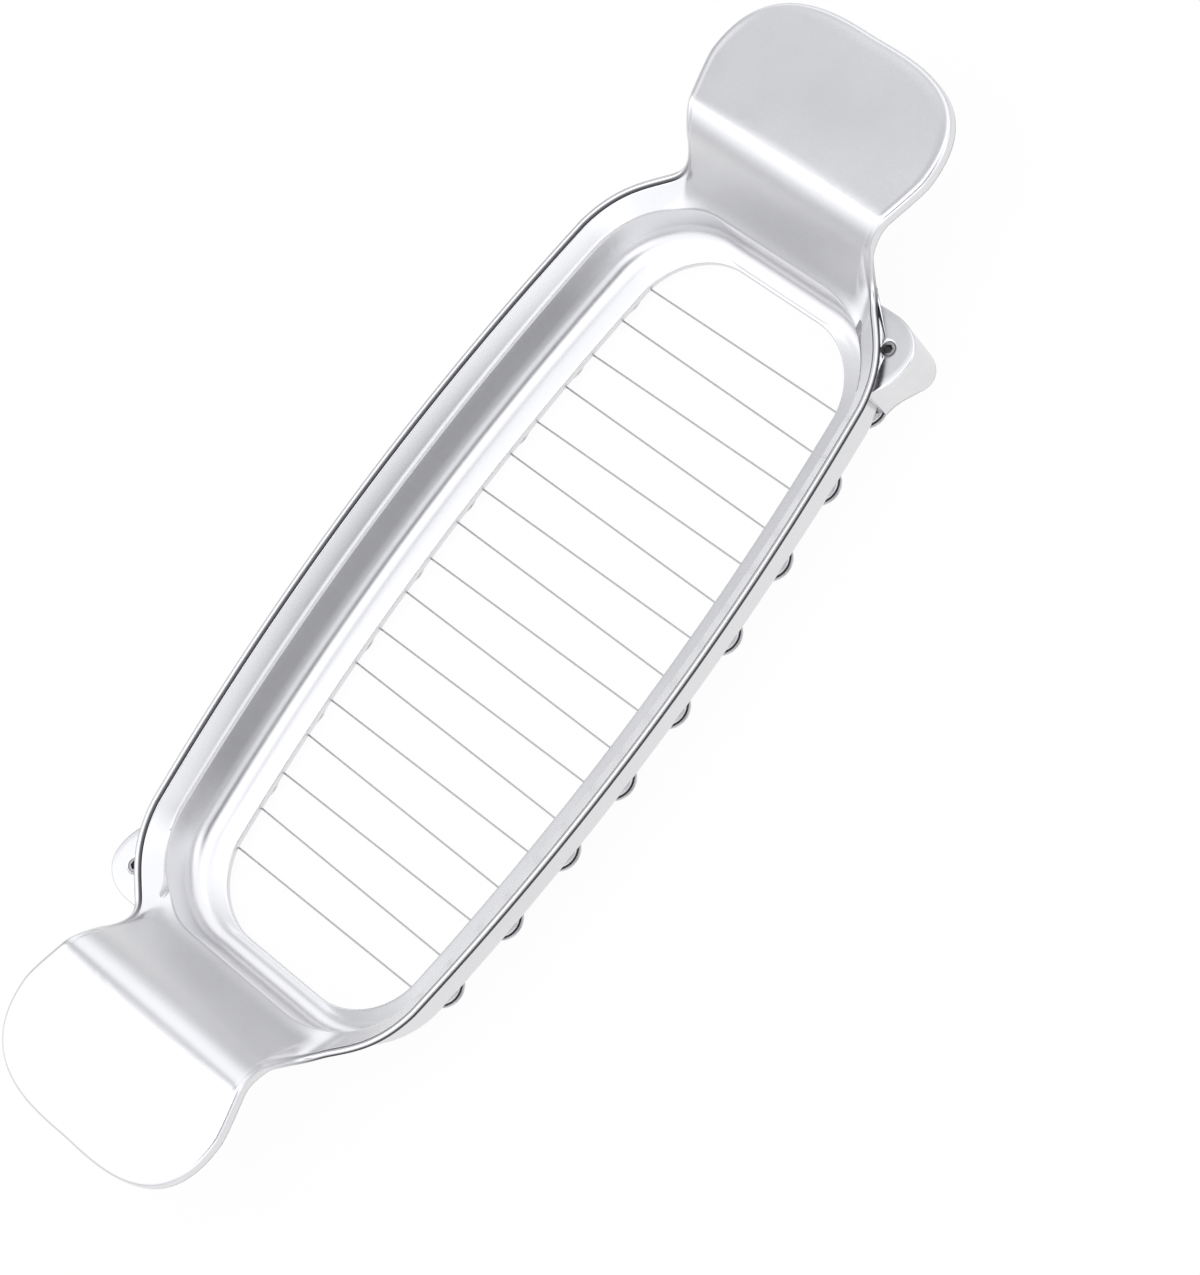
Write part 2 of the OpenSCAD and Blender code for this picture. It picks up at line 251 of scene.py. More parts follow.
SHEET = satin_steel()
STUD = turned_steel("stud_steel", (0.74, 0.74, 0.75), (0.60, 0.60, 0.61), 0.20)
WIRE = turned_steel("wire_steel", (0.50, 0.50, 0.51), (0.40, 0.40, 0.41), 0.24)
SPINDLE = turned_steel("spindle_steel", (0.42, 0.42, 0.43), (0.30, 0.30, 0.31), 0.28)
HOLDER = turned_steel("holder_steel", (0.80, 0.80, 0.81), (0.70, 0.70, 0.715), 0.22)
print("finishes:", SHEET.name, STUD.name, WIRE.name, SPINDLE.name, HOLDER.name)

# %% [markdown]
# ## The shape of the tray
#
# The tray is one sheet, so it is one surface. Its plan shapes are rings: the opening, the wall
# and the rim. Each ring is written for one quarter, with a place that runs from 0 at the middle
# of the long side, through 1 and 2 at the two ends of the corner, to 3 at the middle of the end.
# A cross-section of the sheet at each place, swept round the ring, then makes the tray.

# %% Sizes of the tray, in millimetres
WIRE_COUNT = 17
PITCH = 9
END_GAP = 13.0
SIDE_LEDGE, END_LEDGE = 8.9, 5.3
LIP_W, LIP_RISE = 5.4, 3.4
OPEN_A, OPEN_B, OPEN_BOW, OPEN_R = (WIRE_COUNT - 1) / 2 * PITCH + END_GAP, 31.3, 5.8, 14.5
WALL_A, WALL_B, WALL_BOW, WALL_R = OPEN_A + END_LEDGE, OPEN_B + SIDE_LEDGE, 6.4, OPEN_R + SIDE_LEDGE / 2
RIM_B, RIM_BOW = WALL_B + LIP_W, 7.1
FLOOR_Z, SHEET_T, WALL_H = 2.1, 0.8, 11.0
FLOOR_TOP = FLOOR_Z + SHEET_T
SHOULDER_Z = FLOOR_TOP + WALL_H
HEM_DEPTH = 1.4
HEM_Z = FLOOR_TOP - HEM_DEPTH
BEND_R = 2.4
BEAD_R = 0.7
FLANGE_H = 2.7
HANDLE_L, HANDLE_RISE, HANDLE_DROP, RISE_L = 46.0, 18.2, 1.0, 20.0
TIP_X = WALL_A + HANDLE_L
NECK = np.array([WALL_A + 8.9, 26.0])
WIDE = np.array([TIP_X - 19.2, 30.2])
NECK_U, WIDE_U = 1.7, 2.2
ARC_K = 0.5523


# %% Rings
def bezier(p, t):
    """A point on the cubic curve with the four control points p."""
    a = 1 - t
    p = [np.array(q, float) for q in p]
    return a**3 * p[0] + 3 * a * a * t * p[1] + 3 * a * t * t * p[2] + t**3 * p[3]


def ease(t):
    """0 below 0, 1 above 1, soft between."""
    c = min(max(t, 0.0), 1.0)
    return c * c * (3 - 2 * c)


def side_y(b, c, a, x):
    """Half width at x of a long side with bow c."""
    return b - c * (x / a) ** 2


def ring(a, b, c, r, u):
    """A rounded rectangle with bowed long sides, at place u."""
    x1 = a - r
    y1 = side_y(b, c, a, x1)
    slope = -2 * c * x1 / (a * a)
    y2 = b - c - r
    if u <= 1:
        return np.array([x1 * u, side_y(b, c, a, x1 * u)])
    if u <= 2:
        k = ARC_K * r
        return bezier([[x1, y1], [x1 + k, y1 + slope * k], [a, y2 + k], [a, y2]], u - 1)
    return np.array([a, y2 * (3 - u)])


def opening_ring(d, u):
    return ring(OPEN_A + d, OPEN_B + d, OPEN_BOW, OPEN_R + d, u)


def wall_ring(d, u):
    return ring(WALL_A + d, WALL_B + d, WALL_BOW, WALL_R + d, u)


RIM_X1 = WALL_A - 16
RIM_Y1 = side_y(RIM_B, RIM_BOW, WALL_A, RIM_X1)
RIM_SLOPE = -2 * RIM_BOW * RIM_X1 / WALL_A**2
CORNER_PULL, TIP_PULL = 15.6, 21.3
RIM_CORNER = [[RIM_X1, RIM_Y1], [RIM_X1 + CORNER_PULL, RIM_Y1 + CORNER_PULL * RIM_SLOPE - 1.1],
              NECK - [8.2, -0.5], NECK]
HANDLE_SIDE = [NECK, NECK + [2.4, 0], WIDE - [3.4, 0], WIDE]
HANDLE_TIP = [WIDE, WIDE + [TIP_PULL, 0], [TIP_X, 0.287 * WIDE[1]], [TIP_X, 0]]


def rim_ring(u):
    """The outline of the lip, which turns in to the neck and runs round the handle."""
    if u <= 1:
        return np.array([RIM_X1 * u, side_y(RIM_B, RIM_BOW, WALL_A, RIM_X1 * u)])
    if u <= NECK_U:
        return bezier(RIM_CORNER, (u - 1) / (NECK_U - 1))
    if u <= WIDE_U:
        return bezier(HANDLE_SIDE, (u - NECK_U) / (WIDE_U - NECK_U))
    return bezier(HANDLE_TIP, (u - WIDE_U) / (3 - WIDE_U))


# %% Heights
SLOPE_X = WALL_A - 3.6
TOP_X = SLOPE_X + RISE_L + 4.5


def handle_z(x):
    """Height of a handle at x: up its slope, then a little down to its tip."""
    return (SHOULDER_Z + HANDLE_RISE * ease((x - SLOPE_X) / RISE_L)
            - HANDLE_DROP * (max(x - TOP_X, 0) / (TIP_X - TOP_X)) ** 2)


def handle_share(u):
    """How far the lip is handle at place u, from 0 to 1."""
    return ease((u - 1.43) / 0.33)


def lip_z(u, x, s):
    """Height of the lip at share s of its width."""
    side = SHOULDER_Z + LIP_RISE * (0.9 * s + 0.1 * s * s)
    w = handle_share(u)
    return side * (1 - w) + handle_z(x) * w


EDGE_IN = 2 * BEAD_R + 0.3
DU = 0.02


def rim_out(u):
    """The direction straight out of the rim, in plan."""
    d = rim_ring(min(u + DU, 3)) - rim_ring(max(u - DU, 0))
    return np.array([-d[1], d[0]]) / np.linalg.norm(d)


def lip_at(u, s):
    """A point on the lip's top, from the shoulder at s = 0 to the bead at s = 1."""
    p = wall_ring(0, u) * (1 - s) + (rim_ring(u) - EDGE_IN * rim_out(u)) * s
    return np.array([p[0], p[1], lip_z(u, p[0], s)])


def lip_normal(u, s):
    """The direction straight up from the lip's surface."""
    a = lip_at(min(u + DU, 3), s) - lip_at(max(u - DU, 0), s)
    b = lip_at(u, min(s + DU, 1)) - lip_at(u, max(s - DU, 0))
    n = np.cross(a, b)
    return n / np.linalg.norm(n)


# %% [markdown]
# ## The cross-section
#
# The section starts at the underside of the hem round the opening. It goes over the hem, out
# along the floor, up the bend and the wall, over the shoulder and out along the lip. At the rim
# it rounds a bead, or on a handle a turned-down flange, and returns along the underside.
#
# A fourth value on some points is their painted shade: dark in the groove inside the bead and
# under the bead, and a mild painted shade up the long walls, where the satin sheet looks darkest.


# %% Cross-section
WALL_DRAFT = math.radians(2)
LEDGE_RISE = 0.4
INNER_BEND_R = BEND_R + 1.6
SHOULDER_ROUND = 0.8
HEM_ROUND = 0.5
LIP_ROWS = 26
# Painted shade up the long walls: how dark it gets, how far up it grows, and where it fades towards the
# ends.
WALL_SHADE, SHADE_RISE = 0.5, 4
SHADE_UP_TO_X, SHADE_FADE = 55, 28


def wall_profile(foot, top, radius, draft):
    """A face of the wall from its foot to its top: rows of inset and height."""
    turn = math.pi / 2 - draft
    bend_top = foot + radius * (1 - math.cos(turn))
    bend_in = (top - bend_top) * math.tan(draft)
    rows = [(bend_in + radius * (math.sin(turn) - math.sin(a)), foot + radius * (1 - math.cos(a)))
            for a in np.linspace(0, turn, 9)]
    return rows + [(bend_in * (1 - t), bend_top + (top - bend_top) * t) for t in (0.35, 0.7, 1)]


def up(p, z):
    """A point in plan, lifted to height z."""
    return np.array([p[0], p[1], z])


def arc_points(start, stop, count):
    """Angles in radians from start to stop, which are in degrees."""
    return [math.radians(start + (stop - start) * i / count) for i in range(count + 1)]


def bead_painted_shade(a):
    """Painted shade where the bead meets the lip, and a painted dark reflection round its lower outside."""
    return 0.9 * (a > 2.3) + 1.0 * (abs(a + 0.4) < 1.1)


# The third value of each groove row and bead row is its painted shade.
GROOVE = [(-1.60, -0.06, 0.5), (-1.51, -0.28, 1.0), (-1.42, -0.06, 1.0)]
BEAD_EDGE = GROOVE + [(BEAD_R * math.cos(a) - BEAD_R, BEAD_R * math.sin(a), bead_painted_shade(a))
                      for a in arc_points(172, -165, 12)]
FLANGE_EDGE = (
    [(-1.3, 0.06)] + [(-1.0 + 1.0 * math.cos(a), -0.95 + 1.0 * math.sin(a)) for a in arc_points(90, 0, 7)]
    + [(0, -1.8), (0, -FLANGE_H + 0.15), (-0.15, -FLANGE_H), (-SHEET_T + 0.2, -FLANGE_H),
       (-SHEET_T + 0.05, -FLANGE_H + 0.15), (-SHEET_T + 0.05, -1.8), (-SHEET_T - 0.1, -1.2)]
)


def hem_points(u):
    """The turned edge round the opening, from its underside over its top."""
    return ([up(opening_ring(SHEET_T * 0.9, u), HEM_Z), up(opening_ring(0.15, u), HEM_Z),
             up(opening_ring(0.03, u), HEM_Z + 0.06), up(opening_ring(0, u), HEM_Z + 0.2)]
            + [up(opening_ring(HEM_ROUND + HEM_ROUND * math.cos(a), u),
                  FLOOR_TOP - HEM_ROUND + HEM_ROUND * math.sin(a)) for a in arc_points(180, 90, 5)])


def inner_face(u, shoulder_h):
    """The ledge, the bend and the inside of the wall, with painted shade up the wall."""
    wall = wall_profile(FLOOR_TOP + LEDGE_RISE, shoulder_h - SHOULDER_ROUND, INNER_BEND_R, WALL_DRAFT)
    start, foot = opening_ring(HEM_ROUND, u), wall_ring(-wall[0][0], u)
    points = [up(start * (1 - t) + foot * t, FLOOR_TOP + LEDGE_RISE * t) for t in (0.15, 0.5, 0.85)]
    for back, z in wall:
        place = wall_ring(-back, u)
        # Painted shade: darker up the wall from its bend, fading out towards the ends of the tray.
        wall_shade = WALL_SHADE * ease((z - wall[0][1]) / SHADE_RISE)
        fade = 1 - ease((abs(place[0]) - SHADE_UP_TO_X) / SHADE_FADE)
        points.append(np.array([*place, z, wall_shade * fade]))
    return points


def lip_steps(u, lean):
    """Where the lip has its points, from 0 at the shoulder to 1 at the bead."""
    width = np.linalg.norm((rim_ring(u) - EDGE_IN * rim_out(u)) - wall_ring(0, u))
    first = SHOULDER_ROUND * np.linalg.norm(lean[:2]) / width
    return [first + (1 - first) * (k / LIP_ROWS) ** 1.1 for k in range(1, LIP_ROWS + 1)]


def edge_points(u):
    """The bead of the rim, which turns into the flange of a handle."""
    w = handle_share(u)
    rim, out = rim_ring(u), rim_out(u)
    rim_h = lip_z(u, rim[0], 1)
    points = []
    for bead, flange in zip(BEAD_EDGE, FLANGE_EDGE):
        reach, rise = (bead[k] * (1 - w) + flange[k] * w for k in (0, 1))
        # The bead's painted shade rides along as the fourth value and fades out on a handle's flange.
        points.append(np.array([*(rim + out * reach), rim_h + rise, bead[2] * (1 - w)]))
    return points


def outer_face(u, shoulder_h):
    """The outside of the wall and the underside of the ledge."""
    wall = wall_profile(FLOOR_Z, shoulder_h - SHEET_T * 1.4, BEND_R + SHEET_T, 0)
    return ([up(wall_ring(SHEET_T + 0.1, u), shoulder_h - SHEET_T * 0.85)]
            + [up(wall_ring(SHEET_T - back, u), z) for back, z in reversed(wall)]
            + [up(opening_ring(SHEET_T * 1.2, u), FLOOR_Z),
               up(opening_ring(SHEET_T * 0.95, u), FLOOR_Z - 0.03)])


def section(u):
    """All points of the sheet at place u, top side first."""
    shoulder_h = lip_z(u, wall_ring(0, u)[0], 0)
    peak = lip_at(u, 0)
    lean = lip_at(u, 0.001) - peak
    lean /= np.linalg.norm(lean)
    low, high = up(wall_ring(0, u), shoulder_h - SHOULDER_ROUND), peak + SHOULDER_ROUND * lean
    shoulder = [(1 - t) ** 2 * low + 2 * t * (1 - t) * peak + t * t * high for t in (0.2, 0.4, 0.6, 0.8, 1)]
    steps = lip_steps(u, lean)
    top = [lip_at(u, s) for s in steps]
    below = [lip_at(u, s) - SHEET_T * lip_normal(u, s) for s in reversed(steps[2:])]
    return (hem_points(u) + inner_face(u, shoulder_h) + shoulder + top
            + edge_points(u) + below + outer_face(u, shoulder_h))


# %% Tray mesh
SIDE_STEPS, CORNER_STEPS, END_STEPS = 44, 64, 64


def places():
    """Places round one quarter, both ends included."""
    return ([i / SIDE_STEPS for i in range(SIDE_STEPS)]
            + [1 + i / CORNER_STEPS for i in range(CORNER_STEPS)]
            + [2 + i / END_STEPS for i in range(END_STEPS + 1)])


def full_ring(quarter):
    """Four quarters from one, by mirroring."""
    def turned(points, sx, sy):
        return [(p[0] * sx, p[1] * sy, *p[2:]) for p in points]

    n = len(quarter) - 1
    there, back = range(n), range(n, 0, -1)
    turns = ((1, -1, there), (1, 1, back), (-1, 1, there), (-1, -1, back))
    return [turned(quarter[m], sx, sy) for sx, sy, order in turns for m in order]


def mesh_object(name, points, faces, material, smooth=True):
    """A mesh from points in millimetres."""
    mesh = bpy.data.meshes.new(name)
    mesh.from_pydata([tuple(float(c) * MM for c in p) for p in points], [], faces)
    mesh.validate()
    if material:
        mesh.materials.append(material)
    work = bmesh.new()
    work.from_mesh(mesh)
    bmesh.ops.recalc_face_normals(work, faces=work.faces)
    for face in work.faces:
        face.smooth = smooth
    work.to_mesh(mesh)
    work.free()
    piece = bpy.data.objects.new(name, mesh)
    bpy.context.scene.collection.objects.link(piece)
    return piece


def sweep_rings(rings, closed=True):
    """Points and quads that join neighbouring rings."""
    n, m = len(rings), len(rings[0])
    points = [p for one in rings for p in one]
    faces = []
    for i in range(n if closed else n - 1):
        for j in range(m):
            k = (i + 1) % n
            faces.append((i * m + j, i * m + (j + 1) % m, k * m + (j + 1) % m, k * m + j))
    return points, faces


def mark_painted_shade(piece, values):
    """Says for each point how much painted shade it gets, from 0 to 1."""
    piece.data.attributes.new("painted_shade", "FLOAT", "POINT").data.foreach_set("value", values)


def make_tray():
    quarter = [section(u) for u in places()]
    points, faces = sweep_rings(full_ring(quarter))
    piece = mesh_object("pressed_tray", [p[:3] for p in points], faces, SHEET)
    # Painted shade in the bead's groove, under the bead and up the long walls.
    mark_painted_shade(piece, [float(p[3]) if len(p) > 3 else 0.0 for p in points])
    return piece


tray = make_tray()
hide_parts("tray")
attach(tray, "frame")
print("tray triangles:", 2 * len(tray.data.polygons))

# %% [markdown]
# ## Following a path and repeating a shape
#
# Two small Geometry Nodes trees do the repeated work. One sweeps a round section along a curve
# and makes the wire. The other puts a copy of one stud on every point of a mesh. Each tree has
# named inputs, and its result is kept as a plain mesh.


# %% Geometry Nodes helpers
def new_tree(name, inputs):
    """A geometry tree with a geometry input and named inputs."""
    tree = bpy.data.node_groups.new(name, "GeometryNodeTree")
    tree.interface.new_socket("Geometry", in_out="INPUT", socket_type="NodeSocketGeometry")
    for label, kind in inputs.items():
        tree.interface.new_socket(label, in_out="INPUT", socket_type="NodeSocket" + kind)
    tree.interface.new_socket("Geometry", in_out="OUTPUT", socket_type="NodeSocketGeometry")
    return tree


def chain(tree, last, *kinds):
    """Nodes in a row, each taking the geometry of the one before."""
    for kind in kinds:
        node = tree.nodes.new(kind)
        tree.links.new(last, node.inputs["Geometry"])
        last = node.outputs[0]
        yield node


def close_tree(tree, source, last):
    """Realize, shade smooth, set the material and hand the geometry out."""
    realize, smooth, material = chain(
        tree, last, "GeometryNodeRealizeInstances", "GeometryNodeSetShadeSmooth", "GeometryNodeSetMaterial")
    tree.links.new(source.outputs["Material"], material.inputs["Material"])
    sink = tree.nodes.new("NodeGroupOutput")
    tree.links.new(material.outputs[0], sink.inputs[0])


def sweep_tree():
    """Sweeps a round section along a curve."""
    tree = new_tree("sweep_round", {"Radius": "Float", "Sides": "Int", "Material": "Material"})
    source = tree.nodes.new("NodeGroupInput")
    circle = tree.nodes.new("GeometryNodeCurvePrimitiveCircle")
    tree.links.new(source.outputs["Radius"], circle.inputs["Radius"])
    tree.links.new(source.outputs["Sides"], circle.inputs["Resolution"])
    sweep = tree.nodes.new("GeometryNodeCurveToMesh")
    sweep.inputs["Fill Caps"].default_value = True
    tree.links.new(source.outputs["Geometry"], sweep.inputs["Curve"])
    tree.links.new(circle.outputs["Curve"], sweep.inputs["Profile Curve"])
    close_tree(tree, source, sweep.outputs[0])
    return tree


def copies_tree():
    """Puts a copy of an object on every point."""
    tree = new_tree("copies_on_points", {"Copy": "Object", "Material": "Material"})
    source = tree.nodes.new("NodeGroupInput")
    info = tree.nodes.new("GeometryNodeObjectInfo")
    tree.links.new(source.outputs["Copy"], info.inputs["Object"])
    copies = tree.nodes.new("GeometryNodeInstanceOnPoints")
    tree.links.new(source.outputs["Geometry"], copies.inputs["Points"])
    tree.links.new(info.outputs["Geometry"], copies.inputs["Instance"])
    close_tree(tree, source, copies.outputs[0])
    return tree


def baked(name, data, tree, values):
    """Runs a tree on data and keeps the result as a plain mesh object."""
    worker = bpy.data.objects.new(name + "_worker", data)
    bpy.context.scene.collection.objects.link(worker)
    modifier = worker.modifiers.new(tree.name, "NODES")
    modifier.node_group = tree
    for item in tree.interface.items_tree:
        if item.in_out == "INPUT" and item.name in values:
            modifier[item.identifier] = values[item.name]
    bpy.context.view_layer.update()
    mesh = bpy.data.meshes.new_from_object(worker.evaluated_get(bpy.context.evaluated_depsgraph_get()))
    mesh.name = name
    worker.modifiers.remove(modifier)
    bpy.data.objects.remove(worker)
    piece = bpy.data.objects.new(name, mesh)
    bpy.context.scene.collection.objects.link(piece)
    return piece


# %% [markdown]
# ## Studs and wire
#
# The studs' places come from the measured model. The wire leaves one spindle, bends round the
# first near stud, crosses to the far side, bends round a far stud, and so on to the other
# spindle. Between the bends it is straight.


# %% Places under the tray
def centre_of(node):
    """The middle of a node's box in plan, in millimetres."""
    low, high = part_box(node)
    return np.array([(low[0] + high[0]) / 2, (low[1] + high[1]) / 2]) / MM


STUD_COUNT = (WIRE_COUNT + 1) // 2
NEAR_STUDS = [centre_of(f"near_stud_{i}") for i in range(1, STUD_COUNT + 1)]
FAR_STUDS = [centre_of(f"far_stud_{i}") for i in range(1, STUD_COUNT + 1)]
SPINDLE_AT = centre_of("near_tension_spindle")
WIRE_R = 0.2
LOOP_R = PITCH / 2 - 0.2
LOOP_STEPS = 24
WRAP_R = 1.88
print("first stud and spindle:", NEAR_STUDS[0].round(2), SPINDLE_AT.round(2))


# %% Wire
def arc(centre, radius, start, stop, count):
    """Points on an arc, with angles in degrees."""
    angles = arc_points(start, stop, count)
    return [centre + radius * np.array([math.cos(a), math.sin(a)]) for a in angles]


def wire_route():
    """The wire in plan, from one spindle to the other."""
    span = SPINDLE_AT - NEAR_STUDS[0]
    leave = (math.degrees(math.atan2(span[1], span[0]))
             - math.degrees(math.acos((LOOP_R + WRAP_R) / np.linalg.norm(span))))
    first = arc(SPINDLE_AT, WRAP_R, leave - 120, leave + 180, 40)
    first += arc(NEAR_STUDS[0], LOOP_R, leave, -180, LOOP_STEPS)
    route = list(first)
    for near, far in zip(NEAR_STUDS[1:], reversed(FAR_STUDS[1:])):
        route += arc(far, LOOP_R, 0, 180, LOOP_STEPS) + arc(near, LOOP_R, 0, -180, LOOP_STEPS)
    return route + [-p for p in reversed(first)]


def make_wire():
    """The route as a curve, swept with a round section."""
    curve = bpy.data.curves.new("wire_route", "CURVE")
    curve.dimensions = "3D"
    route = wire_route()
    spline = curve.splines.new("POLY")
    spline.points.add(len(route) - 1)
    for point, place in zip(spline.points, route):
        point.co = (place[0] * MM, place[1] * MM, WIRE_Z, 1)
    values = {"Radius": WIRE_R * MM, "Sides": 16, "Material": WIRE}
    wire = baked("cutting_wire_fine", curve, sweep_tree(), values)
    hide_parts("cutting_wire")
    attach(wire, "frame")
    return wire


wire = make_wire()
print("wire faces:", len(wire.data.polygons))


# %% Studs
STUD_FLANGE_R, STUD_CORE_R = 4.42, 4.0
STUD_FOOT_T, STUD_ROUND = 0.8, 0.7
STUD_TOP = FLOOR_Z - 0.05
# A ring of painted shade round the foot of the stud's waist, where the wire runs.
WAIST_SHADE_R, WAIST_SHADE_Z = (3.9, 4.25), (0.7, 1.6)


def lathe(profile, sides=96):
    """Points and faces of a profile turned about Z. The profile is (radius, height) pairs."""
    rings = [[(r * math.cos(a), r * math.sin(a), z) for r, z in profile]
             for a in np.linspace(0, 2 * math.pi, sides, endpoint=False)]
    return sweep_rings(rings)


def stud_profile():
    """Up the middle, over the top, down the waist that holds the wire and round the foot."""
    foot = [(STUD_FLANGE_R - STUD_ROUND + STUD_ROUND * math.cos(a), STUD_ROUND + STUD_ROUND * math.sin(a))
            for a in arc_points(0, -90, 6)]
    return ([(0.02, STUD_TOP), (STUD_CORE_R - 0.1, STUD_TOP), (STUD_CORE_R, STUD_TOP - 0.1),
             (STUD_CORE_R, 1.5), (STUD_CORE_R, 0.9), (STUD_CORE_R + 0.08, STUD_FOOT_T),
             (STUD_FLANGE_R - 0.20, STUD_FOOT_T), (STUD_FLANGE_R - 0.14, STUD_FOOT_T),
             (STUD_FLANGE_R - 0.06, STUD_FOOT_T - 0.02)]
            + foot + [(0.02, 0)])


def waist_painted_shade(p):
    """Painted shade at the foot of the waist, where the wire runs."""
    return float(WAIST_SHADE_R[0] < math.hypot(p[0], p[1]) < WAIST_SHADE_R[1] and WAIST_SHADE_Z[0] < p[2] < WAIST_SHADE_Z[1])


def make_studs():
    """One stud, copied to every place."""
    points, faces = lathe(stud_profile())
    master = mesh_object("stud_master", points, faces, STUD)
    # Painted shade round the foot of the waist.
    mark_painted_shade(master, [waist_painted_shade(p) for p in points])
    spots = bpy.data.meshes.new("stud_places")
    spots.from_pydata([(p[0] * MM, p[1] * MM, 0) for p in NEAR_STUDS + FAR_STUDS], [], [])
    studs = baked("fine_studs", spots, copies_tree(), {"Copy": master, "Material": STUD})
    bpy.data.objects.remove(master)
    names = [f"{side}_stud_{i}" for side in ("near", "far") for i in range(1, STUD_COUNT + 1)]
    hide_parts(*names)
    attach(studs, "frame")
    return studs


studs = make_studs()
print("stud faces:", len(studs.data.polygons))

# %% [markdown]
# ## Corner holders
#
# A holder is a drawn steel cap that hangs below the rim at a corner and hides a spindle. Its
# outline is larger at the top than at the foot, with a tongue that reaches back to the stud. On
# the tray's side the cap ends inside the sheet, and its top rises a little to meet the bead. One
# ring of points is lofted from the key hole over the top, round the edge, down the wall and
# round the foot.

# %% Outlines of a holder, in millimetres
EAR_TOP = SHOULDER_Z + LIP_RISE / 2
EAR_LIFT, EAR_ROUND = 1.2, 0.45
EAR_EDGE_H = 1.4
FOOT_Z, FOOT_ROUND = 0.1, 0.75
HOLE_R, HOLE_DEPTH, HOLE_CHAMFER = 1.54, 1.5, 0.12
EAR_CURVES = [
    [[77.4, -38.4], [80.8, -41.3], [84.2, -42.0], [86.6, -42.0]],
    [[86.6, -42.0], [90.6, -42.0], [93.5, -38.5], [93.8, -33.0]],
    [[93.8, -33.0], [93.8, -31.0], [93.8, -29.0], [93.8, -27.0]],
]
FOOT_CURVES = [
    [[77.6, -36.0], [80.8, -36.1], [83.0, -38.0], [84.7, -38.8]],
    [[84.7, -38.8], [85.9, -39.7], [86.8, -40.0], [87.9, -40.0]],
    [[87.9, -40.0], [90.6, -40.0], [92.6, -37.0], [92.8, -33.5]],
    [[92.8, -33.5], [92.8, -31.0], [92.8, -29.0], [92.8, -27.0]],
]
OUTER_COUNT, INNER_COUNT = 72, 32
INNER_FROM, INNER_TO = 1.62, 1.18


def along(curves, count):
    """Evenly spaced points along joined curves."""
    dense = np.array([bezier(c, t) for c in curves for t in np.linspace(0, 1, 40, endpoint=False)]
                     + [np.array(curves[-1][-1], float)])
    steps = np.r_[0, np.cumsum(np.linalg.norm(np.diff(dense, axis=0), axis=1))]
    wanted = np.linspace(0, steps[-1], count)
    return np.stack([np.interp(wanted, steps, dense[:, k]) for k in (0, 1)], -1)


def near_side(p):
    """The same place on the near side."""
    return np.array([p[0], -p[1]])


def inner_low(u):
    """Where the cap meets the wall, inside the sheet."""
    return near_side(wall_ring(SHEET_T * 0.2, u))


def inner_top(u):
    """Where the top meets the lip, under the bead, with the height it rises to."""
    place = rim_ring(u) - 1.0 * rim_out(u)
    return [*near_side(place), min(lip_z(u, place[0], 1) - 2 * BEAD_R, EAR_TOP + EAR_LIFT)]


def inset(ring_points, distance):
    """A closed outline moved inwards."""
    ahead = np.roll(ring_points, -1, axis=0) - np.roll(ring_points, 1, axis=0)
    inward = np.stack([-ahead[:, 1], ahead[:, 0]], -1)
    inward /= np.linalg.norm(inward, axis=1)[:, None]
    return ring_points + distance * inward


def holder_rings():
    """All rings of a holder, from the key hole to the middle of the foot."""
    inner = np.linspace(INNER_FROM, INNER_TO, INNER_COUNT)
    low = [inner_low(u) for u in inner]
    rim = np.array([inner_top(u) for u in inner])
    ear = along(EAR_CURVES, OUTER_COUNT)
    top = np.vstack([ear, rim[:, :2]])
    lift = np.r_[np.zeros(OUTER_COUNT), rim[:, 2] - EAR_TOP]
    wall_top = np.vstack([ear, low])
    foot = np.vstack([along(FOOT_CURVES, OUTER_COUNT), low])
    spin = np.arctan2(*(top - SPINDLE_AT).T[::-1])
    unit = np.stack([np.cos(spin), np.sin(spin)], -1)

    def flat(plan, z):
        return [(p[0], p[1], z) for p in plan]

    def lifted(plan, z, share=1):
        return [(p[0], p[1], z + h * share) for p, h in zip(plan, lift)]

    hole = SPINDLE_AT + HOLE_R * unit
    mouth = SPINDLE_AT + (HOLE_R + HOLE_CHAMFER) * unit
    edge = inset(top, EAR_ROUND)
    rings = [flat(hole, EAR_TOP - HOLE_DEPTH), flat(hole, EAR_TOP - HOLE_CHAMFER), flat(mouth, EAR_TOP)]
    rings += [lifted(mouth * (1 - t) + edge * t, EAR_TOP, t * t) for t in (0.1, 0.4, 0.7, 1)]
    for a in arc_points(15, 90, 5):
        plan = inset(top, EAR_ROUND * (1 - math.sin(a)))
        rings.append(lifted(plan, EAR_TOP - EAR_ROUND * (1 - math.cos(a))))
    for z in np.linspace(EAR_TOP - EAR_EDGE_H, FOOT_Z + FOOT_ROUND, 9):
        t = (z - FOOT_Z) / (EAR_TOP - FOOT_Z)
        rings.append(flat(wall_top * t + foot * (1 - t), z))
    for a in arc_points(18, 90, 4):
        plan = inset(foot, FOOT_ROUND * (1 - math.cos(a)))
        rings.append(flat(plan, FOOT_Z + FOOT_ROUND * (1 - math.sin(a))))
    rings += [flat(SPINDLE_AT + (foot - SPINDLE_AT) * t, FOOT_Z) for t in (0.6, 0.2, 0.01)]
    return rings


def make_holder(side, turn):
    """The cap on one side. A turn of -1 puts it at the opposite corner."""
    rings = [[(turn * x, turn * y, z) for x, y, z in one] for one in holder_rings()]
    points, faces = sweep_rings(rings, closed=False)
    holder = mesh_object(f"{side}_holder_cap", points, faces, HOLDER)
    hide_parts(f"{side}_corner_holder")
    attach(holder, "frame")
    return holder


near_holder = make_holder("near", 1)
far_holder = make_holder("far", -1)
print("holder faces:", len(near_holder.data.polygons))

